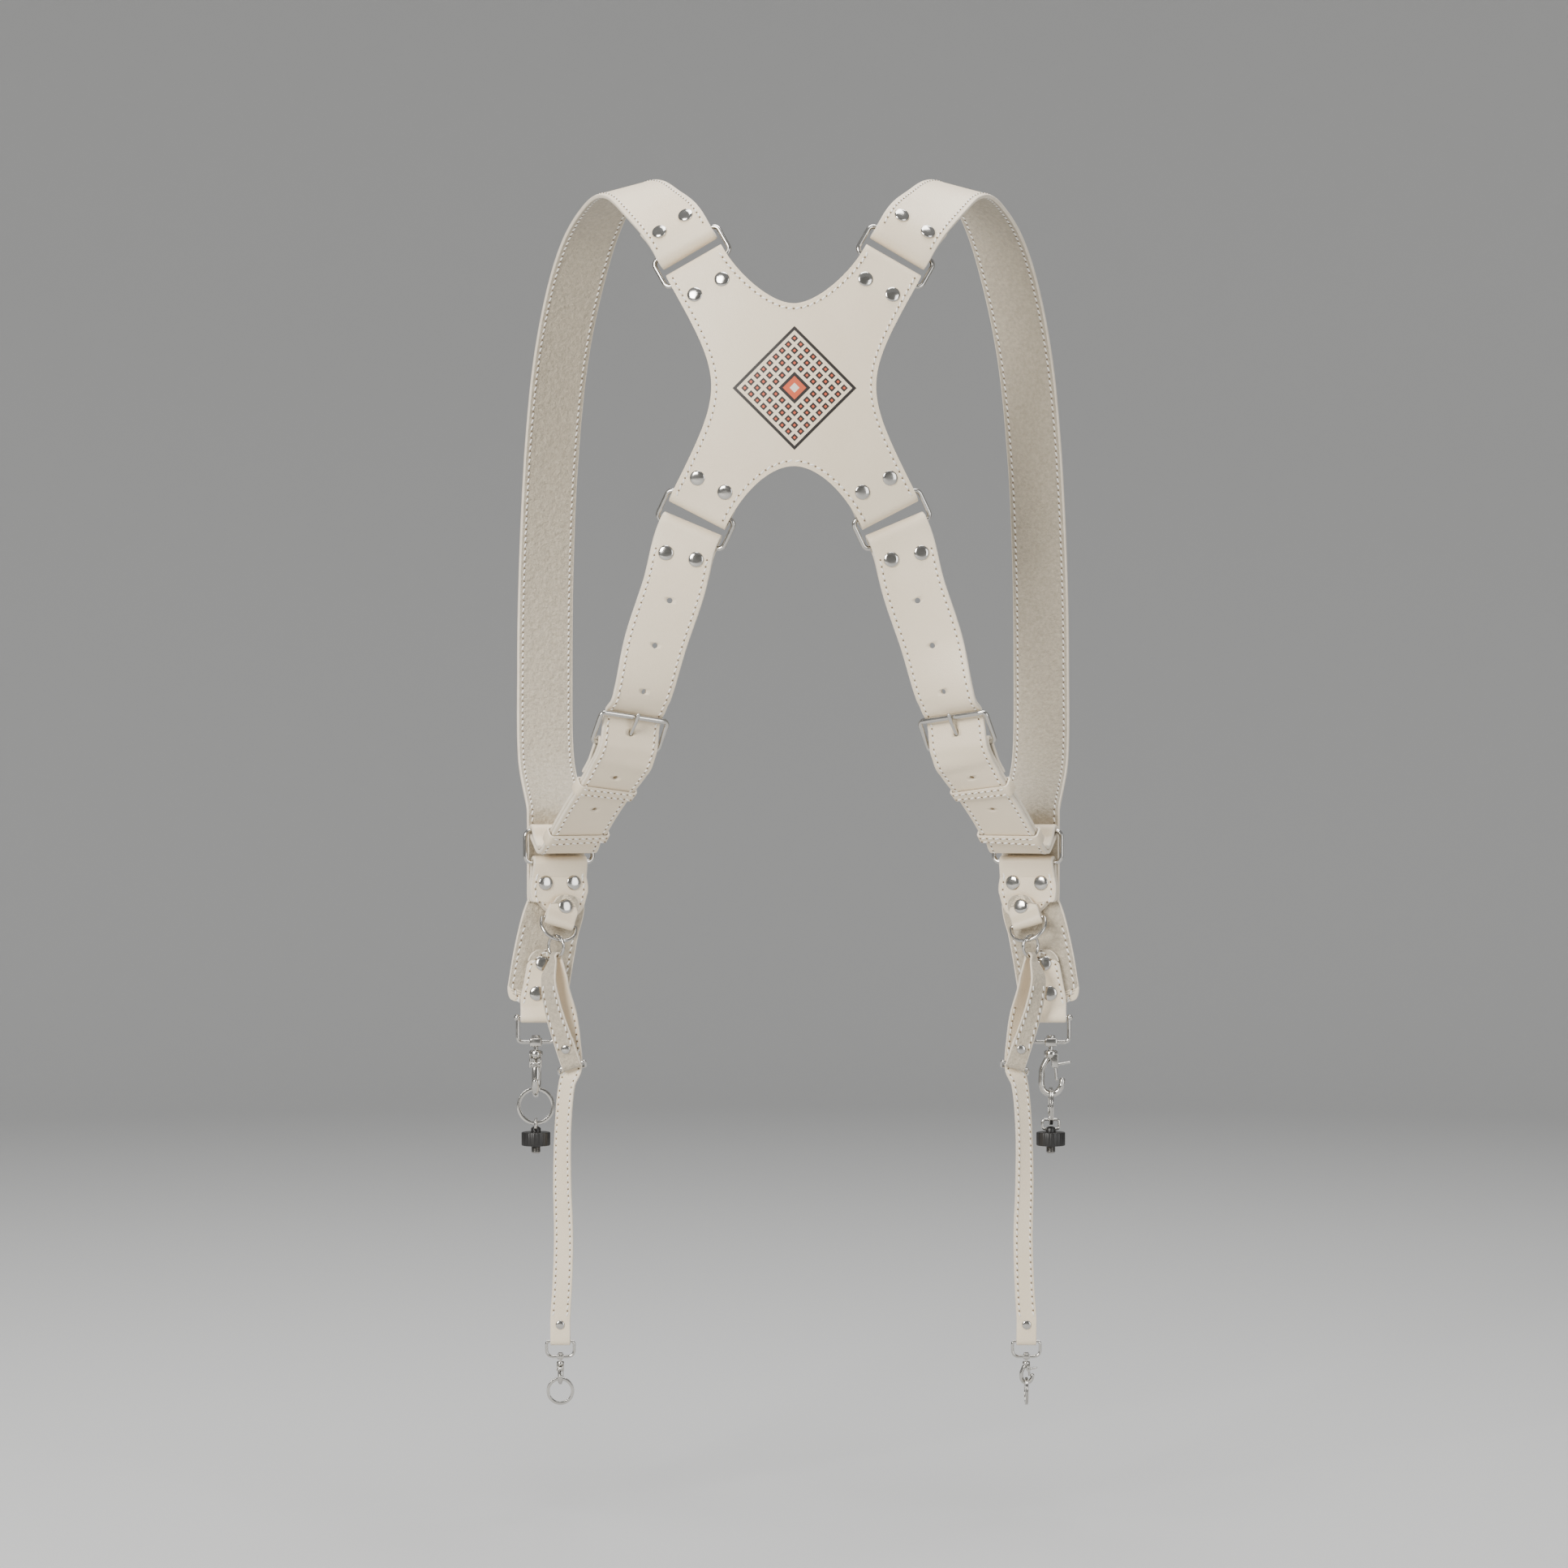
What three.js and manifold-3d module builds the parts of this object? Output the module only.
// A dual camera harness in cream leather and polished nickel, in the form that it has when worn.
// Millimetres: x to the wearer's right, y forward, z up. The origin lies midway between the shoulder seats.
import * as THREE from "three";
import { mergeVertices } from "three/addons/utils/BufferGeometryUtils.js";
import Module from "manifold-3d";

const wasm = await Module();
wasm.setup();

// Leather
const strapWidth = 40;
const strapThick = 2.6;
const tabWidth = 20;
const tabThick = 2;
const leashWidth = 13;
const leashThick = 1.6;
const keeperThick = 1.6;
const keeperBand = 8;
const fit = 0.3; // between two pieces that lie on each other
const cornerRound = 8; // at the cut ends of straps

// Hardware
const ringWire = 3;
const ringRise = 20.6; // middle to middle of a ring's two long bars
const ringCorner = 4;
const ringSlack = 2; // beside the strap in its ring
const foldGap = 4.8; // between the two folds that share a yoke ring
const foldRadius = 4.3; // of the loose folds on the yoke rings
const buckleWire = 3.6;
const heelWire = 3;
const buckleRise = 21;
const buckleCorner = 3;
const prongWire = 2.6;
const dWire = 2.5;
const dRise = 14.5;
const dSwing = 25; // degrees that the D-ring leans out over the clip tab
const jumpWire = 2;
const jumpRadius = 7.25;
const sliderWire = 2;
const sliderRise = 9;
const rivetRadius = 4.5;
const rivetRise = 1.7;
const rivetSpread = 9.8; // from a strap's middle to each rivet of a pair
const rivetBack = 22; // from a fold to its rivets
const stemRadius = 1.6; // of a rivet's stem through other leather
const capSunk = 0.7; // of a rivet's cap in the leather
const smallRivet = 3;

// The body that the harness is worn on
const seatOut = 111; // half the spacing of the shoulder seats
const flankOut = 167; // half the spacing of the front straps
const chestFore = 105;
const backAft = 92;
const hipDrop = 426.3;
const hipOut = flankOut - 13.5;
const hipFore = 16;
const hipTurn = 24; // degrees that the hip rings turn in
const tipDrop = hipDrop + 102.7; // lower end of the front straps
const snapOut = flankOut + 1;
const snapFore = 10.8;

// The back yoke
const yokeDrop = 136.7; // shoulder seats to the yoke's middle
const backRound = 260; // radius of the back across
const backArch = 420; // and from neck to waist
const yokeWaist = 51.6;
const notchUp = 53;
const notchDown = 49;
const arms = {
  upper: { reach: 105.3, bearing: 52.5, tilt: 61.1, sense: 1 },
  lower: { reach: 101, bearing: -52.2, tilt: -62.4, sense: -1 },
};

// The snap under each front strap, hanging from its eye's bar
const eyeWire = 2.5;
const eyeRise = 16;
const ballRadius = 2.2;
const bossRise = 5.5;
const bossSize = 8;
const postRadius = 1.5;
const hookWire = 4;
const hookDrop = 50; // eye's bar to the middle of the hook's bend
const hookReach = 6; // half the hook's width
const keyRadius = 11.2;
const keyWire = 2.4;
const screwWire = 1.8;
const screwRise = 6.2;
const knobRadius = 9.5;
const knobRise = 9;
const screwTip = 3.1; // radius of the camera screw
const screwLength = 5;

// The small snap at the end of each leash
const leashDrop = tipDrop + 223; // lower fold of the leash
const leashOut = snapOut - 16;
const leashFore = 3;
const smallEyeWire = 2;
const smallEyeRise = 10;
const smallHookWire = 2.6;
const smallHookDrop = 27;
const smallHookReach = 3.2;
const splitRadius = 8;
const splitWire = 2;

const radians = THREE.MathUtils.degToRad;
const V = (x, y, z) => new THREE.Vector3(x, y, z);
const down = V(0, 0, -1);
const ringSpan = strapWidth + 2 * ringSlack + ringWire;

// Solids

function solidOf(geometry) {
  const bare = geometry.clone();
  bare.deleteAttribute("normal");
  bare.deleteAttribute("uv");
  const merged = mergeVertices(bare, 1e-4);
  const vertProperties = merged.attributes.position.array;
  const triVerts = new Uint32Array(merged.index.array);
  const make = () => new wasm.Manifold(new wasm.Mesh({ numProp: 3, vertProperties, triVerts }));
  if (make().volume() > 0) return make();
  // A left-handed seat turned the faces inward.
  for (let i = 0; i < triVerts.length; i += 3) triVerts.subarray(i, i + 3).reverse();
  return make();
}

function solidFrom(points, faces) {
  const geometry = new THREE.BufferGeometry().setFromPoints(points);
  geometry.setIndex(faces.flat());
  return solidOf(geometry);
}

// A sheet of leather: a surface of triangles with half its thickness to each side, and walls along its edges.
function thicken(points, faces, thick) {
  const normals = points.map(() => V(0, 0, 0));
  const open = new Map();
  for (const [a, b, c] of faces) {
    const face = points[b].clone().sub(points[a]).cross(points[c].clone().sub(points[a]));
    for (const i of [a, b, c]) normals[i].add(face);
    for (const [i, j] of [[a, b], [b, c], [c, a]]) {
      if (open.has(j + "," + i)) open.delete(j + "," + i);
      else open.set(i + "," + j, [i, j]);
    }
  }
  const n = points.length;
  const offset = (i, side) => points[i].clone().addScaledVector(normals[i].normalize(), (side * thick) / 2);
  const skins = [1, -1].flatMap((side) => points.map((_, i) => offset(i, side)));
  const shell = faces.flatMap(([a, b, c]) => [[a, b, c], [n + a, n + c, n + b]]);
  for (const [i, j] of open.values()) shell.push([j, i, n + i], [j, n + i, n + j]);
  return solidFrom(skins, shell);
}

// A round wire along a flat path, whose plane has the given normal.
function wire(path, planeNormal, radius, { closed = false, sides = 5 } = {}) {
  const n = path.length;
  const points = [];
  const faces = [];
  path.forEach((p, i) => {
    const before = path[closed ? (i + n - 1) % n : Math.max(i - 1, 0)];
    const after = path[closed ? (i + 1) % n : Math.min(i + 1, n - 1)];
    const side = after.clone().sub(before).normalize().cross(planeNormal).normalize();
    for (let k = 0; k < sides; k++) {
      const turn = (2 * Math.PI * (k + 0.5)) / sides;
      const around = side.clone().multiplyScalar(Math.cos(turn)).addScaledVector(planeNormal, Math.sin(turn));
      points.push(p.clone().addScaledVector(around, radius));
    }
  });
  for (let i = 0; i < (closed ? n : n - 1); i++) {
    for (let k = 0; k < sides; k++) {
      const a = i * sides + k;
      const b = i * sides + ((k + 1) % sides);
      const c = ((i + 1) % n) * sides + ((k + 1) % sides);
      const d = ((i + 1) % n) * sides + k;
      faces.push([a, b, c], [a, c, d]);
    }
  }
  if (!closed) {
    for (let k = 1; k < sides - 1; k++) {
      faces.push([0, k + 1, k], [(n - 1) * sides, (n - 1) * sides + k, (n - 1) * sides + k + 1]);
    }
  }
  return solidFrom(points, faces);
}

// A place with three directions: across and along in a strap's surface, and out of it.
class Seat {
  constructor(at, across, along, grain = 1) {
    this.at = at;
    this.across = across.clone().normalize();
    this.along = along.clone().normalize();
    this.grain = grain;
    this.out = this.across.clone().cross(this.along).normalize().multiplyScalar(grain);
  }
  point(c, a, h) {
    const inPlane = this.at.clone().addScaledVector(this.across, c).addScaledVector(this.along, a);
    return inPlane.addScaledVector(this.out, h);
  }
  moved(c, a, h) {
    return new Seat(this.point(c, a, h), this.across, this.along, this.grain);
  }
  mirrored(side) {
    const flip = (v) => V(side * v.x, v.y, v.z);
    return new Seat(flip(this.at), flip(this.across), flip(this.along), side * this.grain);
  }
  // A shape in this seat: its x across, its y along and its z out.
  place(geometry) {
    const matrix = new THREE.Matrix4().makeBasis(this.across, this.along, this.out).setPosition(this.at);
    return solidOf(geometry.applyMatrix4(matrix));
  }
}

// A turned shape on a seat's outward axis, from rows of radius and height.
function turned(seat, rows, sides = 6) {
  const profile = rows.map(([r, h]) => new THREE.Vector2(r, h));
  return seat.place(new THREE.LatheGeometry(profile, sides).rotateX(Math.PI / 2));
}

function block(seat, c, a, h) {
  return seat.place(new THREE.BoxGeometry(c, a, h));
}

// A strap's way through space, by arc length, with the direction across it. grain is its smooth face's side.
class Route {
  constructor(stations, grain) {
    this.line = new THREE.CatmullRomCurve3(stations.map((row) => row.at));
    this.line.arcLengthDivisions = 60 * stations.length;
    this.turns = new THREE.CatmullRomCurve3(stations.map((row) => row.across));
    this.grain = grain;
    this.length = this.line.getLength();
  }
  seat(s) {
    const within = THREE.MathUtils.clamp(s, 0, this.length);
    const t = this.line.getUtoTmapping(within / this.length);
    const along = this.line.getTangent(t);
    const at = this.line.getPoint(t).addScaledVector(along, s - within);
    const across = this.turns.getPoint(t);
    across.addScaledVector(along, -across.dot(along)).normalize();
    return new Seat(at, across, along, this.grain);
  }
  point(s, c, h) {
    return this.seat(s).point(c, 0, h);
  }
  // The arc length at a station, counted from 0.
  reach(station) {
    const lengths = this.line.getLengths();
    return lengths[Math.round((station / (this.line.points.length - 1)) * (lengths.length - 1))];
  }
  // The arc length at which a falling route passes a height.
  downTo(z, from = 0.5 * this.length) {
    let high = from;
    let low = this.length;
    for (let i = 0; i < 40; i++) {
      const middle = (high + low) / 2;
      if (this.seat(middle).at.z > z) high = middle;
      else low = middle;
    }
    return low;
  }
}

// A strap on a route, from rows of arc length, height over the route, half width and shift across.
function strip(route, rows, thick) {
  const points = [];
  const faces = [];
  rows.forEach(({ s, h, half, shift = 0 }, i) => {
    points.push(route.point(s, shift - half, h), route.point(s, shift + half, h));
    if (i) faces.push([2 * i - 2, 2 * i - 1, 2 * i + 1], [2 * i - 2, 2 * i + 1, 2 * i]);
  });
  return thicken(points, faces, thick);
}

// The rows of a strap's end folded round a bar, from the cut end under the strap to the bar's far side.
// end is the fold's outermost point and into the way to the rest of the strap. face and rest are the heights
// of the strap and of its folded end. radius is the fold's, and negative where the end comes back above.
function foldRows({ end, into, face = 0, rest, radius, back, taper = 10, half, thick, shift = 0 }) {
  const turnCentre = Math.abs(radius) + thick / 2;
  const row = (a, h) => ({ s: end + into * a, h, half, shift });
  const rows = [row(back, rest), row(turnCentre + taper, rest)];
  const bends = 4;
  for (let k = 0; k <= bends; k++) {
    const turn = (Math.PI * k) / bends;
    rows.push(row(turnCentre - Math.abs(radius) * Math.sin(turn), face - radius - radius * Math.cos(turn)));
  }
  return rows;
}

// Rows at whole steps of arc length, which straps that lie on each other share.
const rowStep = 5;
function sharedRows(from, to, h, half, shift = 0) {
  const first = Math.ceil(from / rowStep);
  const last = Math.floor(to / rowStep);
  const count = Math.max(0, last - first + 1);
  return Array.from({ length: count }, (_, i) => ({ s: (first + i) * rowStep, h, half, shift }));
}

const rowsBetween = (from, to, count, h, half) =>
  Array.from({ length: count + 1 }, (_, i) => ({ s: from + ((to - from) * i) / count, h, half }));

// A rounded end: rows whose half width follows a quarter circle of the given radius.
function roundedEnd(end, into, radius, h, half, shift = 0) {
  return [70, 35, 0].map((degrees) => ({
    s: end + into * radius * (1 - Math.cos(radians(90 - degrees))),
    h,
    half: half - radius + radius * Math.sin(radians(90 - degrees)),
    shift,
  }));
}

// One domed cap of a rivet, sunk a little into the leather whose surface is at height h. up is 1 or -1.
function cap(seat, h, up, radius = rivetRadius, rise = rivetRise) {
  const foot = h - up * capSunk;
  const top = h + up * rise;
  return turned(seat, [[0, foot], [radius, foot], [0.6 * radius, top], [0, top]]);
}

// A rivet through leather that is folded on itself: a cap on each side, at the heights low and high.
function rivet(seat, low, high, radius, rise) {
  return cap(seat, low, -1, radius, rise).add(cap(seat, high, 1, radius, rise));
}

// A rivet that goes on through other leather, whose far side is at height high.
function longRivet(seat, low, high) {
  const far = high + capSunk + 2 * fit;
  return rivet(seat, low, far).add(hole(seat, stemRadius, low, far));
}

// A plain round pin, or the hole for one.
function hole(seat, radius, low, high, sides = 6) {
  return turned(seat, [[0, low], [radius, low], [radius, high], [0, high]], sides);
}

// A rounded rectangle in a seat's plane.
function roundedRing(seat, c, a, corner) {
  const centres = [[1, 1], [-1, 1], [-1, -1], [1, -1]];
  return centres.flatMap(([x, y], quarter) =>
    [0, 45, 90].map((degrees) => {
      const turn = radians(90 * quarter + degrees);
      const round = V(corner * Math.cos(turn), corner * Math.sin(turn), 0);
      return seat.point(x * (c / 2 - corner) + round.x, y * (a / 2 - corner) + round.y, 0);
    }),
  );
}

function ring(seat, radius, tube, sides = 5, steps = 12) {
  return seat.place(new THREE.TorusGeometry(radius, tube / 2, sides, steps));
}

// Nodes

const harness = new THREE.Group();
const finishes = {
  leather: new THREE.MeshStandardMaterial({ color: 0xd8cfc1, roughness: 0.6, metalness: 0 }),
  nickel: new THREE.MeshStandardMaterial({ color: 0xc9c7c2, roughness: 0.15, metalness: 1 }),
  black: new THREE.MeshStandardMaterial({ color: 0x1c1b1a, roughness: 0.45, metalness: 0 }),
};

// Both sides are worked out with x outward, and the left one is mirrored.
function addNode(name, solid, finish, side = 1) {
  const mesh = solid.getMesh();
  const positions = Array.from({ length: mesh.numVert * 3 }, (_, i) => {
    const value = mesh.vertProperties[Math.floor(i / 3) * mesh.numProp + (i % 3)];
    return i % 3 ? value : side * value;
  });
  const order = side > 0 ? [0, 1, 2] : [0, 2, 1];
  const triangles = Array.from(mesh.triVerts, (_, i) => mesh.triVerts[i - (i % 3) + order[i % 3]]);
  const geometry = new THREE.BufferGeometry();
  geometry.setAttribute("position", new THREE.Float32BufferAttribute(positions, 3));
  geometry.setIndex(triangles);
  geometry.computeVertexNormals();
  const node = new THREE.Mesh(geometry, finishes[finish].clone());
  node.name = name;
  harness.add(node);
}

// The back yoke

// The wearer's back, as the yoke lies on it: the point at x and a rise over the yoke's middle, h out of it.
function back(x, rise, h = 0) {
  const y = -backAft + x ** 2 / (2 * backRound) + rise ** 2 / (2 * backArch);
  return V(x, y, rise - yokeDrop).addScaledVector(V(x / backRound, -1, rise / backArch).normalize(), h);
}

// The plane of an arm: a back from its fold, c across it, outward.
function armPlane(arm, a, c) {
  const bearing = radians(arm.bearing);
  const tilt = radians(arm.tilt);
  return new THREE.Vector2(
    arm.reach * Math.cos(bearing) - a * Math.cos(tilt) + c * arm.sense * Math.sin(tilt),
    arm.reach * Math.sin(bearing) - a * Math.sin(tilt) - c * arm.sense * Math.cos(tilt),
  );
}

// A seat on an arm, which is straight from edge to edge, with its along direction out to the ring.
function armSeat(arm, a, c = 0, h = 0) {
  const edge = (from, side) => {
    const place = armPlane(arm, from, (side * strapWidth) / 2);
    return back(place.x, place.y, h);
  };
  const middle = (from) => edge(from, -1).lerp(edge(from, 1), 0.5);
  const across = edge(a, 1).sub(edge(a, -1));
  const along = middle(a - 1).sub(middle(a));
  const at = edge(a, -1).lerp(edge(a, 1), 0.5 + c / strapWidth);
  return new Seat(at, across, along, across.clone().cross(along).y < 0 ? 1 : -1);
}

const looseTurn = foldRadius + strapThick / 2;
const halfStrap = strapWidth / 2;

const panelRings = [0.45, 0.8, 1]; // shares of the way from the panel's middle to its rim

function yokeSheet() {
  const bezier = (points, count) => new THREE.CubicBezierCurve(...points).getPoints(count);
  const corner = (arm, c) => armPlane(arm, looseTurn, c);
  const inward = (arm, c, pull) => armPlane(arm, looseTurn + pull, c);
  // The side curve's pull is what brings its middle to the waist.
  const { upper, lower } = arms;
  const outerUp = corner(upper, halfStrap);
  const outerDown = corner(lower, halfStrap);
  const lean = Math.cos(radians(upper.tilt)) + Math.cos(radians(lower.tilt));
  const sidePull = (4 * (outerUp.x + outerDown.x) - 8 * yokeWaist) / (3 * lean);
  const half = [
    ...bezier([
      new THREE.Vector2(0, notchUp),
      new THREE.Vector2(0.28 * notchUp, notchUp),
      inward(upper, -halfStrap, 0.17 * upper.reach),
      corner(upper, -halfStrap),
    ], 6),
    ...bezier([
      outerUp,
      inward(upper, halfStrap, sidePull),
      inward(lower, halfStrap, sidePull),
      outerDown,
    ], 8),
    ...bezier([
      corner(lower, -halfStrap),
      inward(lower, -halfStrap, 0.22 * lower.reach),
      new THREE.Vector2(0.3 * notchDown, -notchDown),
      new THREE.Vector2(0, -notchDown),
    ], 6),
  ];
  const mirrored = half.slice(1, -1).reverse().map((p) => new THREE.Vector2(-p.x, p.y));
  const outline = half.concat(mirrored);
  const n = outline.length;
  const points = [back(0, 0)];
  const faces = [];
  for (const share of panelRings) for (const p of outline) points.push(back(share * p.x, share * p.y));
  const onRing = (k, i) => 1 + k * n + (i % n);
  const rim = (i) => onRing(panelRings.length - 1, i);
  for (let i = 0; i < n; i++) {
    faces.push([0, onRing(0, i), onRing(0, i + 1)]);
    for (let k = 1; k < panelRings.length; k++) {
      const [a, b, c, d] = [onRing(k - 1, i), onRing(k, i), onRing(k, i + 1), onRing(k - 1, i + 1)];
      faces.push([a, b, c], [a, c, d]);
    }
  }
  // Each arm goes on from its edge of the rim, round the ring and back under itself.
  const armEdges = [
    { edge: 6, arm: upper, side: 1, first: -1 },
    { edge: 15, arm: lower, side: 1, first: 1 },
    { edge: n - 16, arm: lower, side: -1, first: -1 },
    { edge: n - 7, arm: upper, side: -1, first: 1 },
  ];
  const foldAway = foldRows({
    end: 0, into: 1, rest: -strapThick - fit, radius: foldRadius, back: 1.5 * rivetBack,
    taper: 0.7 * rivetBack, half: halfStrap, thick: strapThick,
  }).reverse().slice(1);
  for (const { edge, arm, side, first } of armEdges) {
    let a = rim(edge);
    let b = rim(edge + 1);
    for (const { s, h } of foldAway) {
      for (const c of [first * halfStrap, -first * halfStrap]) {
        const p = armPlane(arm, s, c);
        points.push(back(side * p.x, p.y, h));
      }
      faces.push([b, a, points.length - 2], [b, points.length - 2, points.length - 1]);
      a = points.length - 2;
      b = points.length - 1;
    }
  }
  return thicken(points, faces, strapThick);
}

function backYoke() {
  let yoke = yokeSheet();
  for (const arm of Object.values(arms)) {
    for (const c of [-rivetSpread, rivetSpread]) {
      for (const side of [-1, 1]) {
        const seat = armSeat(arm, rivetBack, c).mirrored(side);
        yoke = yoke.add(rivet(seat, -1.5 * strapThick - fit, strapThick / 2));
      }
    }
  }
  return yoke;
}

// Routes

const layer = strapThick + fit; // one strap's thickness and its clearance to the next
const tabLayer = tabThick + fit;
const turnRound = (wireSize, thick) => wireSize / 2 + fit + thick / 2;

const hipRing = new Seat(
  V(hipOut, hipFore, -hipDrop),
  V(Math.cos(radians(hipTurn)), -Math.sin(radians(hipTurn)), 0),
  down,
);
const hipUpperBar = hipRing.moved(0, -ringRise / 2, 0);
const hipTurnRound = turnRound(ringWire, strapThick);

// A station on the body, in shares: out of flankOut, fore of chestFore or backAft, drop of hipDrop.
const bodyStation = ({ out, fore, drop, turn }) => ({
  at: V(out * flankOut, fore * (fore < 0 ? backAft : chestFore), -drop * hipDrop),
  across: V(...turn),
});

// A station over or near a shoulder seat: out is a share of seatOut, fore of backAft, drop of hipDrop.
const shoulderStation = ({ out, fore, drop, turn }) => ({
  at: V(out * seatOut, fore * backAft, strapThick / 2 - drop * hipDrop),
  across: V(...turn),
});

function frontRoute() {
  const start = armSeat(arms.upper, -foldGap, 0);
  const lead = armSeat(arms.upper, -foldGap - 0.5 * strapWidth, 0);
  const behindRing = (share) => hipRing.point(0, share * ringRise, hipTurnRound + layer);
  const atSnap = (share) => ({ at: V(snapOut, snapFore, -share * tipDrop), across: V(1, 0, 0) });
  return new Route([
    { at: start.at, across: start.across },
    { at: lead.at, across: V(0.86, 0, -0.5) },
    ...[
      { out: 0.82, fore: -0.45, drop: 0.034, turn: [0.9, -0.2, -0.38] },
      { out: 0.92, fore: -0.2, drop: 0.007, turn: [0.9, -0.33, -0.32] },
      { out: 1, fore: 0, drop: 0, turn: [0.88, -0.39, -0.29] },
    ].map(shoulderStation),
    ...[
      { out: 0.735, fore: 0.28, drop: 0.012, turn: [0.88, -0.42, -0.24] },
      { out: 0.81, fore: 0.53, drop: 0.055, turn: [0.88, -0.44, -0.12] },
      { out: 0.88, fore: 0.75, drop: 0.13, turn: [0.88, -0.45, 0] },
      { out: 0.94, fore: 0.92, drop: 0.235, turn: [0.88, -0.46, 0] },
      { out: 0.98, fore: 1, drop: 0.38, turn: [0.88, -0.47, 0] },
      { out: 1, fore: 0.96, drop: 0.56, turn: [0.88, -0.47, 0] },
      { out: 1, fore: 0.81, drop: 0.725, turn: [0.88, -0.47, 0] },
      { out: 0.985, fore: 0.56, drop: 0.865, turn: [0.88, -0.48, 0] },
    ].map(bodyStation),
    ...[-1.1, -0.6, 0, 0.5, 1, 1.5, 1.9].map((share) => ({ at: behindRing(share), across: hipRing.across })),
    { at: V(1.04 * hipOut, 1.1 * hipFore, -0.905 * tipDrop), across: V(0.945, -0.32, 0.03) },
    { at: V(1.067 * hipOut, 0.85 * hipFore, -0.945 * tipDrop), across: V(0.985, -0.16, 0.08) },
    { at: V(0.992 * snapOut, 1.03 * snapFore, -0.98 * tipDrop), across: V(0.998, -0.04, 0.05) },
    ...[0.995, 1.012, 1.045].map(atSnap),
  ], 1);
}

const bandBuckle = 6; // the station of the buckle's middle
const bandKeepers = [9, 11]; // and of the two keepers

function bandRoute() {
  const start = armSeat(arms.lower, -foldGap, 0);
  // The band sags below the ring and rises to its upper bar, round which it folds.
  const rise = radians(40);
  const barSide = hipUpperBar.point(0, hipTurnRound * Math.cos(rise), hipTurnRound * Math.sin(rise));
  const rising = hipUpperBar.out.clone().multiplyScalar(Math.cos(rise));
  rising.addScaledVector(down, -Math.sin(rise));
  const near = (share) => barSide.clone().addScaledVector(rising, share * ringRise);
  const lead = V(0.36, 0.14, -0.92);
  // It is straight through the buckle.
  const buckle = bodyStation({ out: 0.623, fore: -0.652, drop: 0.826, turn: [0.87, -0.47, 0.14] });
  const way = V(0.32, 0.36, -0.87).normalize();
  const atBuckle = (share) => ({
    at: buckle.at.clone().addScaledVector(way, share * buckleRise), across: buckle.across,
  });
  return new Route([
    { at: start.at, across: V(0.94, 0.11, 0.33) },
    { at: start.at.clone().addScaledVector(lead, 0.35 * strapWidth), across: V(0.95, 0.09, 0.31) },
    ...[
      { out: 0.452, fore: -0.783, drop: 0.61, turn: [0.94, -0.02, 0.3] },
      { out: 0.524, fore: -0.757, drop: 0.695, turn: [0.93, -0.2, 0.28] },
    ].map(bodyStation),
    ...[-1.2, -0.6, 0, 0.6, 1.2].map(atBuckle),
    ...[
      { out: 0.728, fore: -0.435, drop: 0.91, turn: [0.8, -0.58, 0.11] },
      { out: 0.79, fore: -0.293, drop: 0.945, turn: [0.8, -0.59, 0.1] },
      { out: 0.844, fore: -0.141, drop: 0.98, turn: [0.82, -0.57, 0.06] },
    ].map(bodyStation),
    { at: hipUpperBar.point(0, 0.65 * ringRise, -0.75 * ringRise), across: hipRing.across },
    { at: near(-0.42), across: hipRing.across },
    { at: near(0), across: hipRing.across },
    { at: near((hipTurnRound + strapThick / 2) / ringRise), across: hipRing.across },
  ], -1);
}

const front = frontRoute();
const band = bandRoute();

// Front straps

const padTop = front.downTo(-hipDrop - ringRise / 2 + hipTurnRound + strapThick / 2);
const padLength = 41;
const padRivetBack = 18;
const tabShift = -2.5; // the ring tab sits a little inward of the strap's middle
const tabTop = padTop + 0.61 * padLength;
const tabFold = tabTop + 1.2 * tabWidth;
const tabRivet = tabTop + 0.45 * tabWidth;
const clipFold = front.downTo(-1.0236 * tipDrop);
const clipLength = 48;
const clipRivets = [0.2, 0.6].map((share) => clipFold - (1 - share) * clipLength);
const frontEnd = front.downTo(-tipDrop);
// Heights over the front strap's middle, on its suede side, of what is riveted to it
const padHeights = { inner: -layer, outer: -2 * layer };
const tabInner = padHeights.outer - strapThick / 2 - 2 * fit - tabThick / 2;
const tabHeights = { inner: tabInner, outer: tabInner - tabLayer };
const clipInner = -strapThick / 2 - fit - tabThick / 2;
const clipHeights = { inner: clipInner, outer: clipInner - tabLayer };
const stemHole = stemRadius + 3 * fit;

function frontStrap() {
  const bend = foldRows({
    end: 0, into: 1, rest: -layer, radius: foldRadius, back: 1.5 * rivetBack,
    taper: 0.7 * rivetBack, half: halfStrap, thick: strapThick,
  });
  const laden = padTop - 0.5 * ringRise; // from here down other leather lies on it
  const stretch = [
    ...sharedRows(looseTurn + 0.2 * rivetBack, 2 * rivetBack, 0, halfStrap),
    ...rowsBetween(2.3 * rivetBack, laden, 20, 0, halfStrap),
    ...sharedRows(laden + 0.3 * rowStep, frontEnd - cornerRound - 0.3 * rowStep, 0, halfStrap),
  ];
  const tip = roundedEnd(frontEnd, -1, cornerRound, 0, halfStrap).reverse().slice(1);
  let strap = strip(front, [...bend, ...stretch, ...tip], strapThick);
  const cut = (s, c) => hole(front.seat(s).moved(c, 0, 0), stemHole, -strapThick, strapThick);
  for (const c of [-rivetSpread, rivetSpread]) {
    strap = strap.add(rivet(front.seat(rivetBack).moved(c, 0, 0), -1.5 * strapThick - fit, strapThick / 2));
    strap = strap.subtract(cut(padTop + padRivetBack, c));
  }
  strap = strap.subtract(cut(tabRivet, tabShift));
  for (const s of clipRivets) strap = strap.subtract(cut(s, 0));
  return strap;
}

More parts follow.
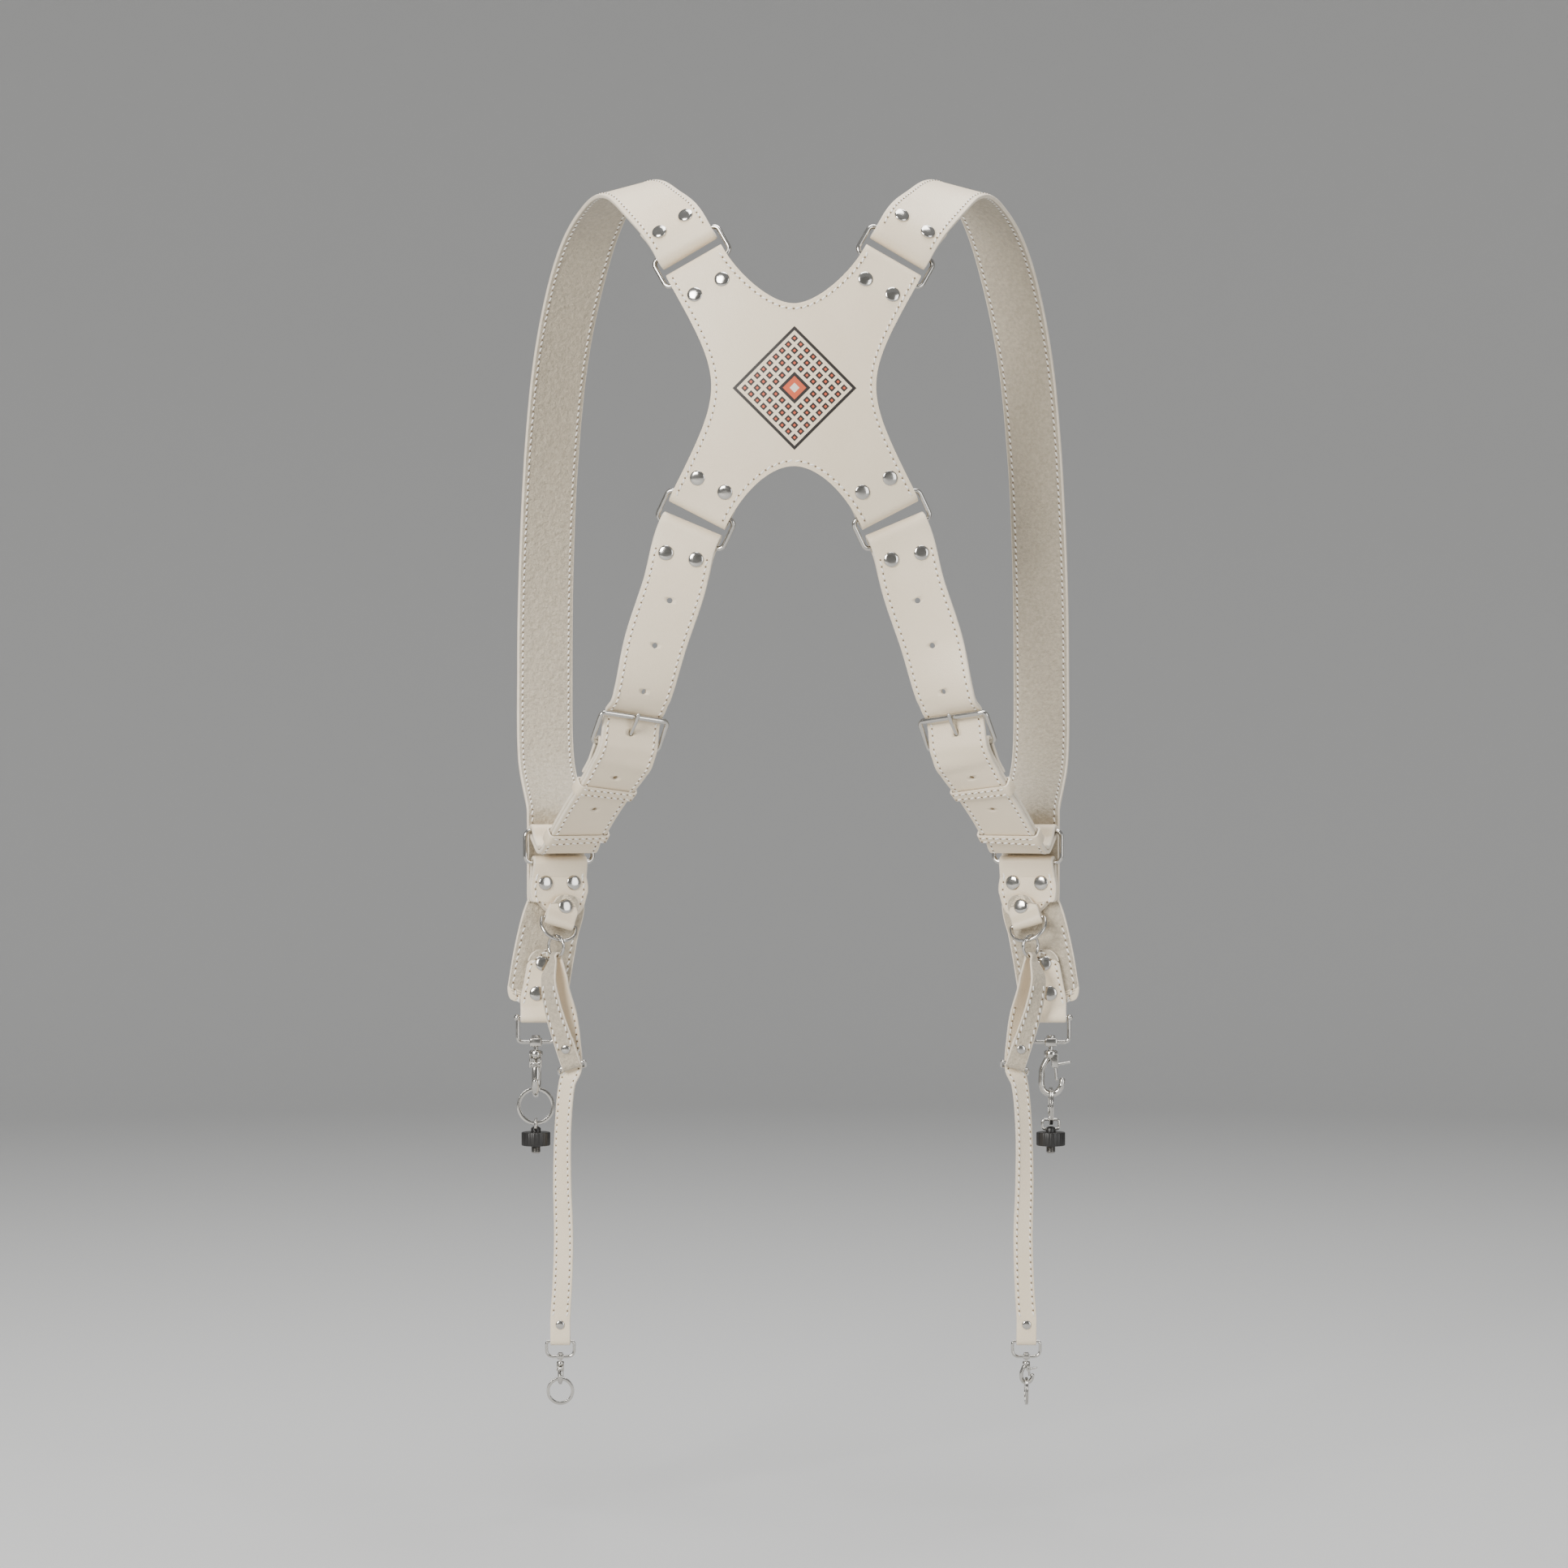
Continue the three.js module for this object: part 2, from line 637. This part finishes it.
// The tab that is folded round a hip ring's lower bar and riveted to the front strap. Its half width is in
// shares of strapWidth, and the distance down from its fold in shares of padLength.
const padOutline = [
  { down: 0, half: 0.46 }, { down: 0.35, half: 0.48 }, { down: 0.5, half: 0.505 }, { down: 0.66, half: 0.49 },
  { down: 0.8, half: 0.42 }, { down: 0.9, half: 0.32 }, { down: 0.965, half: 0.2 }, { down: 1, half: 0.08 },
];

function padHalf(a) {
  const share = THREE.MathUtils.clamp(a / padLength, 0, 1);
  const next = Math.max(1, padOutline.findIndex((row) => row.down >= share));
  const [from, to] = [padOutline[next - 1], padOutline[next]];
  const between = (share - from.down) / (to.down - from.down);
  return strapWidth * THREE.MathUtils.lerp(from.half, to.half, between);
}

function hipPad() {
  const bend = foldRows({
    end: padTop, into: 1, face: padHeights.inner, rest: padHeights.outer, radius: hipTurnRound,
    back: padLength, taper: 0.25 * padLength, half: halfStrap, thick: strapThick,
  }).slice(1);
  const lobe = sharedRows(padTop + 0.3 * padLength, padTop + 0.96 * padLength).map((row) => row.s);
  lobe.push(padTop + padLength);
  const outer = lobe.map((s) => ({ s, h: padHeights.outer })).reverse();
  const inner = lobe.map((s) => ({ s, h: padHeights.inner }));
  const rows = [...outer, ...bend, ...inner].map(({ s, h }) => ({ s, h, half: padHalf(s - padTop) }));
  let pad = strip(front, rows, strapThick);
  for (const c of [-rivetSpread, rivetSpread]) {
    const seat = front.seat(padTop + padRivetBack).moved(c, 0, 0);
    pad = pad.add(longRivet(seat, padHeights.outer - strapThick / 2, strapThick / 2));
  }
  const tabSeat = front.seat(tabRivet).moved(tabShift, 0, 0);
  return pad.subtract(hole(tabSeat, stemHole, padHeights.outer - strapThick, 0));
}

// A narrow tab on the front strap's suede side, folded at its lower end and riveted through all under it.
function tab({ top, end, heights, wireSize, shift, rivets }) {
  const radius = turnRound(wireSize, tabThick);
  const half = tabWidth / 2;
  const round = roundedEnd(top, 1, half, heights.outer, half, shift);
  const bend = foldRows({
    end, into: -1, face: heights.inner, rest: heights.outer, radius, back: 4 * radius,
    taper: 2.4 * radius, half, thick: tabThick, shift,
  });
  const length = end - top;
  const outerRows = sharedRows(top + half + 1, end - 4.2 * radius, heights.outer, half, shift);
  const innerRows = sharedRows(top + 0.3 * length, end - 2 * radius, heights.inner, half, shift).reverse();
  let made = strip(front, [...round, ...outerRows, ...bend, ...innerRows], tabThick);
  for (const s of rivets) {
    const seat = front.seat(s).moved(shift, 0, 0);
    made = made.add(longRivet(seat, heights.outer - tabThick / 2, strapThick / 2));
  }
  return made;
}

const ringTab = () => tab({
  top: tabTop, end: tabFold, heights: tabHeights, wireSize: dWire, shift: tabShift,
  rivets: [tabRivet],
});
const clipTab = () => tab({
  top: clipFold - clipLength, end: clipFold, heights: clipHeights, wireSize: eyeWire, shift: 0,
  rivets: clipRivets,
});

// Billets, buckles and keepers

const bandMiddle = band.reach(bandBuckle);
const heelAt = bandMiddle + buckleRise / 2;
const barAt = bandMiddle - buckleRise / 2;
const heelTurn = turnRound(heelWire, strapThick);
const keeperAt = bandKeepers.map((station) => band.reach(station));
const billetEnd = keeperAt[1] + 0.9 * keeperBand;
const holePitch = 30;
const holeRadius = 1.8;
const underBar = -(buckleWire / 2 + fit + strapThick / 2);
const overHeel = heelTurn + layer;
const overBar = buckleWire / 2 + fit + prongWire / 2;
const prongHole = bandMiddle + 0.07 * buckleRise;

const prongPath = () => [
  band.point(heelAt - heelTurn, 0, 0.05 * overBar),
  band.point(prongHole, 0, 0.48 * overBar),
  band.point(barAt + 0.15 * buckleRise, 0, overBar),
  band.point(barAt - 0.16 * buckleRise, 0, overBar),
];

function billet() {
  const bend = foldRows({
    end: 0, into: 1, rest: -layer, radius: foldRadius, back: 1.5 * rivetBack,
    taper: 0.7 * rivetBack, half: halfStrap, thick: strapThick,
  });
  const stretch = rowsBetween(looseTurn + 0.3 * rivetBack, barAt - 0.9 * buckleRise, 6, 0, halfStrap);
  const weave = [
    { at: -0.8, h: 0.35 * underBar }, { at: -0.5, h: underBar }, { at: -0.22, h: 0.6 * underBar },
    { at: 0.07, h: 0.48 * overBar }, { at: 0.3, h: 0.75 * overHeel }, { at: 0.5, h: overHeel },
    { at: 0.8, h: overHeel }, { at: 1.35, h: layer },
  ].map(({ at, h }) => ({ s: bandMiddle + at * buckleRise, h, half: halfStrap }));
  const tail = sharedRows(bandMiddle + 1.5 * buckleRise, billetEnd - halfStrap / 2 - 1, layer, halfStrap);
  const tip = roundedEnd(billetEnd, -1, halfStrap / 2, layer, halfStrap).reverse().slice(1);
  let made = strip(band, [...bend, ...stretch, ...weave, ...tail, ...tip], strapThick);
  for (const c of [-rivetSpread, rivetSpread]) {
    made = made.add(rivet(band.seat(rivetBack).moved(c, 0, 0), -1.5 * strapThick - fit, strapThick / 2));
  }
  for (const count of [-3, -2, -1, 1, 2]) {
    const seat = band.seat(prongHole + count * holePitch);
    made = made.subtract(hole(seat, holeRadius, -strapThick, 2 * layer, 6));
  }
  return made.subtract(wire(prongPath(), band.seat(bandMiddle).across, prongWire / 2 + 2 * fit));
}

function buckleStrap() {
  const heel = foldRows({
    end: heelAt - heelTurn - strapThick / 2, into: 1, face: heelTurn, rest: -layer, radius: heelTurn,
    back: 1.4 * rivetBack, taper: 0.5 * rivetBack, half: halfStrap, thick: strapThick,
  });
  const settle = [{ s: heelAt + 0.3 * buckleRise, h: heelTurn }, { s: heelAt + 0.85 * buckleRise, h: 0 }];
  const hip = foldRows({
    end: band.length, into: -1, rest: -layer, radius: hipTurnRound, back: 1.4 * rivetBack,
    taper: 0.4 * rivetBack, half: halfStrap, thick: strapThick,
  }).reverse();
  const from = bandMiddle + 1.5 * buckleRise;
  const to = band.length - hipTurnRound - 0.4 * rivetBack;
  const rows = [...heel, ...settle.map((row) => ({ ...row, half: halfStrap })),
    ...sharedRows(from, to, 0, halfStrap), ...hip];
  const slot = block(band.seat(heelAt), prongWire + 6 * fit, 4.2 * heelTurn, 4.2 * heelTurn);
  return strip(band, rows, strapThick).subtract(slot);
}

function buckleFrame() {
  const seat = band.seat(bandMiddle);
  const loop = roundedRing(seat, ringSpan, buckleRise, buckleCorner);
  const frame = wire(loop, seat.out, heelWire / 2, { closed: true });
  const bar = [-1, 1].map((end) => seat.point(end * (ringSpan / 2 - buckleCorner), -buckleRise / 2, 0));
  return frame.add(wire(bar, seat.out, buckleWire / 2));
}

function buckleProng() {
  const heel = band.seat(bandMiddle).moved(0, buckleRise / 2, 0);
  const eyeSeat = new Seat(heel.at, heel.along, heel.out);
  const inside = heelWire / 2 + fit;
  const outside = heelTurn + strapThick / 4;
  const half = prongWire / 2;
  const section = [[inside, -half], [outside, -half], [outside, half], [inside, half], [inside, -half]];
  const eye = turned(eyeSeat, section, 8);
  return eye.add(wire(prongPath(), heel.across, half));
}

function keeper(s) {
  const low = -strapThick / 2 - 1.5 * fit - keeperThick / 2;
  const high = layer + strapThick / 2 + 1.5 * fit + keeperThick / 2;
  const half = halfStrap + 2 * fit + keeperThick / 2;
  const round = 0.7;
  const loop = [
    [half - round, low], [half, low + round], [half, high - round], [half - round, high],
    [-half + round, high], [-half, high - round], [-half, low + round], [-half + round, low],
  ];
  const points = loop.flatMap(([c, h]) => [
    band.point(s - keeperBand / 2, c, h), band.point(s + keeperBand / 2, c, h),
  ]);
  const faces = loop.flatMap((_, i) => {
    const j = (i + 1) % loop.length;
    return [[2 * i, 2 * i + 1, 2 * j + 1], [2 * i, 2 * j + 1, 2 * j]];
  });
  return thicken(points, faces, keeperThick);
}

// Rings

// The ring between a yoke arm's fold and the fold of the strap that goes on from it.
function strapRing(seat) {
  return wire(roundedRing(seat, ringSpan, ringRise, ringCorner), seat.out, ringWire / 2, { closed: true });
}

// A yoke ring's two bars lie under the face of the arm and of the strap that share it.
function yokeRing(arm, route) {
  const inFold = (ringRise - foldGap) / 2;
  const under = -strapThick / 2 - 1.7 * fit - ringWire / 2;
  const near = armSeat(arm, inFold, 0, under);
  const far = route.seat(inFold).moved(0, 0, under);
  const across = near.across.clone().add(far.across);
  const along = far.at.clone().sub(near.at).normalize();
  across.addScaledVector(along, -across.dot(along));
  return strapRing(new Seat(near.at.clone().lerp(far.at, 0.5), across, along));
}

// A D-ring in the ring tab's fold, leaning out over the clip tab.
const tabTurn = turnRound(dWire, tabThick);
const dBar = front.seat(tabFold - tabTurn - tabThick / 2).moved(tabShift, 0, tabHeights.inner - tabTurn);
const dDown = dBar.along.clone().applyAxisAngle(dBar.across, -radians(dSwing));
const dSeat = new Seat(dBar.at, dBar.across, dDown);

function dRing() {
  const half = tabWidth / 2 + 2 * fit + dWire / 2;
  const bow = Array.from({ length: 9 }, (_, i) => {
    const turn = (Math.PI * i) / 8;
    return dSeat.point(half * Math.cos(turn), 0.25 * dRise + 0.75 * dRise * Math.sin(turn), 0);
  });
  const bar = [dSeat.point(-0.93 * half, 0, 0), dSeat.point(0.93 * half, 0, 0)];
  return wire([...bow, ...bar], dSeat.out, dWire / 2, { closed: true });
}

const diagonal = V(1, 1, 0).normalize();
const jumpDrop = jumpRadius - (dWire + jumpWire) / 2 - 2 * fit;
const jumpSeat = new Seat(dSeat.point(0, dRise, 0).addScaledVector(down, jumpDrop), diagonal, down);
const jumpRing = () => ring(jumpSeat, jumpRadius, jumpWire);

// Leashes

const sliderTurn = turnRound(sliderWire, leashThick);
const sliderBar = new Seat(
  V(0.857 * snapOut, -0.37 * hipFore, -1.074 * tipDrop),
  V(0.94, 0.12, -0.31),
  V(0, 0.9, -0.43),
);
const loopRadius = 2.8;

function leashRoute() {
  const pull = V(0.316, 0, 0.949).normalize();
  const front0 = sliderBar.across.clone().cross(pull).normalize(); // toward the camera side
  const leg = (share) => sliderBar.at.clone().addScaledVector(front0, sliderTurn)
    .addScaledVector(pull, share * tabWidth);
  const round = (degrees) => {
    const turn = radians(degrees);
    return jumpSeat.point(0, jumpRadius, 0).addScaledVector(down, -loopRadius * Math.sin(turn))
      .addScaledVector(jumpSeat.out, loopRadius * Math.cos(turn));
  };
  const q = diagonal;
  const outward = jumpSeat.out.x > 0 ? 1 : -1;
  const bends = [-25, 30, 90, 150, 205].map((degrees) => round(outward > 0 ? degrees : 180 - degrees));
  const through = sliderBar.point(0, 0.6 * sliderRise, 0);
  const hang = leashDrop - tipDrop;
  return new Route([
    { at: leg(-(sliderTurn + leashThick / 2) / tabWidth), across: sliderBar.across },
    { at: leg(0), across: sliderBar.across },
    { at: leg(0.7), across: V(0.93, 0.15, -0.3) },
    { at: V(0.93 * snapOut, -0.45 * hipFore, -1.003 * tipDrop), across: V(0.85, 0.45, -0.28) },
    { at: V(0.946 * snapOut, -0.55 * hipFore, -0.966 * tipDrop), across: V(0.73, 0.68, -0.06) },
    ...bends.map((at) => ({ at, across: q })),
    { at: V(0.9 * snapOut, 0.06 * hipFore, -0.975 * tipDrop), across: V(0.74, 0.66, 0.1) },
    { at: V(0.875 * snapOut, 0.16 * hipFore, -1.01 * tipDrop), across: V(0.85, 0.5, 0.1) },
    { at: V(0.862 * snapOut, 0.1 * hipFore, -1.045 * tipDrop), across: V(0.93, 0.3, -0.1) },
    { at: through, across: sliderBar.across },
    ...[
      { out: 0.968, fore: -0.8, drop: 0.065, turn: [0.8, 0.55, 0.2] },
      { out: 0.986, fore: -0.6, drop: 0.22, turn: [0.82, 0.55, 0.08] },
      { out: 0.99, fore: 0.1, drop: 0.42, turn: [0.9, 0.4, 0] },
      { out: 0.985, fore: 0.7, drop: 0.62, turn: [0.97, 0.22, 0] },
      { out: 0.992, fore: 0.95, drop: 0.8, turn: [0.99, 0.1, 0] },
      { out: 1, fore: 1, drop: 0.9, turn: [1, 0, 0] },
      { out: 1, fore: 1, drop: 0.95, turn: [1, 0, 0] },
      { out: 1, fore: 1, drop: 1.06, turn: [1, 0, 0] },
    ].map(({ out, fore, drop, turn }) => ({
      at: V(out * leashOut, fore * leashFore, sliderBar.at.z - drop * (hang - tipDrop * 0.074)),
      across: V(...turn),
    })),
  ], 1);
}

const leash = leashRoute();
const apexAt = leash.reach(7);
const leashFold = leash.downTo(-leashDrop, apexAt + 1);
const smallEyeTurn = turnRound(smallEyeWire, leashThick);
const leashLayer = leashThick + fit;

function leashStrap() {
  const half = leashWidth / 2;
  const pinch = 2.6; // half width where the leash is gathered in the jump ring
  const narrow = (s) => {
    const away = THREE.MathUtils.clamp((Math.abs(s - apexAt) - 5) / leashWidth, 0, 1);
    return THREE.MathUtils.lerp(pinch, half, away);
  };
  const legEnd = foldRows({
    end: 0, into: 1, rest: -leashLayer, radius: sliderTurn, back: 20, taper: 6, half, thick: leashThick,
  });
  const stretch = (from, to, count) =>
    rowsBetween(from, to, count, 0, half).map((row) => ({ ...row, half: narrow(row.s) }));
  const clipEnd = foldRows({
    end: leashFold, into: -1, rest: leashLayer, radius: -smallEyeTurn,
    back: 25, taper: 6, half, thick: leashThick,
  }).reverse();
  const rows = [
    ...legEnd,
    ...stretch(9, apexAt - 9, 6),
    ...stretch(apexAt - 6, apexAt + 6, 6),
    ...stretch(apexAt + 9, leashFold - 10, 20),
    ...clipEnd,
  ];
  return strip(leash, rows, leashThick)
    .add(rivet(leash.seat(14), -1.5 * leashThick - fit, leashThick / 2, smallRivet, 1.2))
    .add(rivet(leash.seat(leashFold - 14), -leashThick / 2, 1.5 * leashThick + fit, smallRivet, 1.2));
}

function slider() {
  const seat = sliderBar.moved(0, sliderRise / 2, 0);
  const span = leashWidth + 4 * fit + 2 * sliderWire;
  return wire(roundedRing(seat, span, sliderRise, 1.5), seat.out, sliderWire / 2, { closed: true });
}

// Snaps

// A snap hangs from the bar of its eye. facing is the hook's open side, and drops are down from the bar.
function snap(size, bar, facing) {
  const seat = new Seat(bar, V(1, 0, 0), down);
  const sideways = down.clone().cross(facing);
  const axis = new Seat(bar, facing, sideways); // its out direction is down
  const plane = (u, drop) => bar.clone().addScaledVector(facing, u).addScaledVector(down, drop);
  const bossTop = size.rise - size.bossRise / 2;
  const bossEnd = size.rise + size.bossRise / 2;
  const ringSeat = seat.moved(0, size.rise / 2, 0);
  const loop = roundedRing(ringSeat, size.span, size.rise, size.corner);
  let eye = wire(loop, ringSeat.out, size.wire / 2, { closed: true })
    .add(block(seat.moved(0, size.rise, 0), size.boss, size.bossRise, size.boss))
    .subtract(hole(axis, size.post + fit, bossTop - 1, bossEnd + 1));
  if (size.ball) {
    for (const end of [-1, 1]) {
      const at = seat.moved((end * size.span) / 2, 0, 0);
      eye = eye.add(at.place(new THREE.SphereGeometry(size.ball, 6, 5)));
    }
  }
  const head = size.post * 1.9;
  const neck = bossEnd + fit + 0.28 * size.boss;
  const shoulder = 0.56 * size.boss;
  const pivotDrop = neck + 1.15 * size.boss;
  const pivotOut = 0.42 * size.reach;
  const pin = 0.24 * size.hook;
  let hook = turned(axis, [
    [0, bossTop - fit - size.post],
    [head, bossTop - fit - size.post],
    [head, bossTop - fit],
    [size.post, bossTop - fit],
    [size.post, neck],
    [shoulder, neck + 0.15 * size.boss],
    [shoulder, neck + 0.5 * size.boss],
    [0.5 * shoulder, neck + 0.75 * size.boss],
    [0, neck + 0.75 * size.boss],
  ]);
  const reach = size.reach;
  const bend = [
    [0, neck + 0.5 * size.boss], [-0.55 * reach, neck + 0.9 * size.boss], [-reach, size.drop - 2.1 * reach],
    [-reach, size.drop - reach], [-0.6 * reach, size.drop - 0.25 * reach], [0, size.drop],
    [0.7 * reach, size.drop - 0.2 * reach], [1.15 * reach, size.drop - 0.85 * reach],
    [1.25 * reach, size.drop - 1.5 * reach],
  ].map(([u, drop]) => plane(u, drop));
  hook = hook.add(wire(bend, sideways, size.hook / 2));
  // Two ears hold the lever's pin.
  const pivot = new Seat(plane(pivotOut, pivotDrop), facing, down);
  const leverHalf = 0.3 * size.boss;
  const earThick = 0.13 * size.boss;
  for (const end of [-1, 1]) {
    const ear = pivot.moved(0, 0, end * (leverHalf + fit + earThick / 2));
    hook = hook.add(block(ear.moved(0, -0.32 * size.boss, 0), 0.5 * size.boss, 1.1 * size.boss, earThick));
  }
  const across = leverHalf + fit + earThick / 2;
  hook = hook.add(hole(pivot, pin, -across, across));
  const tail = plane(0.62 * reach, size.drop - 1.6 * reach);
  const gate = wire([pivot.at, tail], sideways, 0.22 * size.hook + 0.2);
  const thumb = wire([pivot.at, plane(pivotOut + 0.75 * reach, pivotDrop - 0.03 * size.drop),
    plane(2.05 * reach, pivotDrop - 0.03 * size.drop)], sideways, 0.25 * size.hook);
  const lever = hole(pivot, pin + fit + 0.25 * size.hook, -leverHalf, leverHalf)
    .add(gate).add(thumb).subtract(hole(pivot, pin + fit, -size.boss, size.boss));
  return { eye, hook, lever, bend: plane(0, size.drop), pivot };
}

const bigSnap = {
  span: tabWidth + 4 * fit + eyeWire, rise: eyeRise, wire: eyeWire, corner: 1.5, ball: ballRadius,
  boss: bossSize, bossRise, post: postRadius, hook: hookWire, drop: hookDrop, reach: hookReach,
};
const smallSnap = {
  span: leashWidth + 3 + smallEyeWire, rise: smallEyeRise, wire: smallEyeWire, corner: 2, ball: 0,
  boss: 4.4, bossRise: 3, post: 0.9, hook: smallHookWire, drop: smallHookDrop, reach: smallHookReach,
};
const bigBar = front.seat(clipFold - turnRound(eyeWire, tabThick) - tabThick / 2)
  .point(0, 0, clipHeights.inner - turnRound(eyeWire, tabThick));
const smallBar = leash.seat(leashFold - smallEyeTurn - leashThick / 2).point(0, 0, smallEyeTurn);

// A ring hanging in a hook's bend, in the plane across the hook.
function hungRing(bend, hookSize, facing, radius, tube) {
  const middle = bend.clone().addScaledVector(down, radius - hookSize / 2 - tube / 2 - fit);
  const seat = new Seat(middle, down.clone().cross(facing), down);
  return { seat, solid: ring(seat, radius, tube) };
}

// A camera screw: a bent wire through the key ring, and a knob with its screw that hangs from the wire.
function cameraScrew(keySeat) {
  const top = keySeat.point(0, keyRadius - keyWire / 2 - screwWire / 2 - fit, 0);
  const half = 0.58 * knobRadius;
  const middle = new Seat(top.clone().addScaledVector(down, screwRise / 2), keySeat.out, down);
  const bow = wire(roundedRing(middle, 2 * half, screwRise, 2), middle.out, screwWire / 2, { closed: true });
  const bar = top.clone().addScaledVector(down, screwRise);
  const axis = new Seat(bar, keySeat.out, down.clone().cross(keySeat.out));
  const neck = 0.34 * knobRadius;
  const seatTop = screwWire;
  const knob = turned(axis, [
    [0, -screwWire], [0.8 * neck, -screwWire], [neck, -0.6 * screwWire], [neck, seatTop],
    [knobRadius - 0.8, seatTop], [knobRadius, seatTop + 0.8], [knobRadius, seatTop + knobRise - 0.8],
    [knobRadius - 0.8, seatTop + knobRise], [screwTip, seatTop + knobRise],
    [screwTip, seatTop + knobRise + screwLength], [0, seatTop + knobRise + screwLength],
  ], 12);
  const bore = new Seat(bar, down, down.clone().cross(keySeat.out));
  const cut = hole(bore, screwWire / 2 + fit, -knobRadius, knobRadius, 8);
  return { bow, knob: knob.subtract(cut), bar, face: bar.clone().addScaledVector(down, seatTop + knobRise) };
}

// Assembly

addNode("back_yoke", backYoke(), "leather");
const facings = { left: V(0, -1, 0), right: V(1, 0, 0) };
for (const [name, side] of [["left", -1], ["right", 1]]) {
  const leather = (piece, solid) => addNode(name + "_" + piece, solid, "leather", side);
  const metal = (piece, solid) => addNode(name + "_" + piece, solid, "nickel", side);
  metal("upper_yoke_ring", yokeRing(arms.upper, front));
  metal("lower_yoke_ring", yokeRing(arms.lower, band));
  metal("hip_ring", strapRing(hipRing));
  leather("front_strap", frontStrap());
  leather("billet", billet());
  leather("buckle_strap", buckleStrap());
  metal("buckle_frame", buckleFrame());
  metal("buckle_prong", buckleProng());
  leather("upper_keeper", keeper(keeperAt[0]));
  leather("lower_keeper", keeper(keeperAt[1]));
  leather("hip_pad", hipPad());
  leather("ring_tab", ringTab());
  metal("d_ring", dRing());
  metal("jump_ring", jumpRing());
  leather("leash_strap", leashStrap());
  metal("leash_slider", slider());
  leather("clip_tab", clipTab());
  const facing = facings[name];
  const big = snap(bigSnap, bigBar, facing);
  metal("snap_eye", big.eye);
  metal("snap_hook", big.hook);
  metal("snap_lever", big.lever);
  const key = hungRing(big.bend, hookWire, facing, keyRadius, keyWire);
  metal("key_ring", key.solid);
  const screw = cameraScrew(key.seat);
  metal("screw_bow", screw.bow);
  addNode(name + "_screw_knob", screw.knob, "black", side);
  const small = snap(smallSnap, smallBar, facing);
  metal("leash_eye", small.eye);
  metal("leash_hook", small.hook);
  metal("leash_lever", small.lever);
  metal("split_ring", hungRing(small.bend, smallHookWire, facing, splitRadius, splitWire).solid);
}

export default harness;
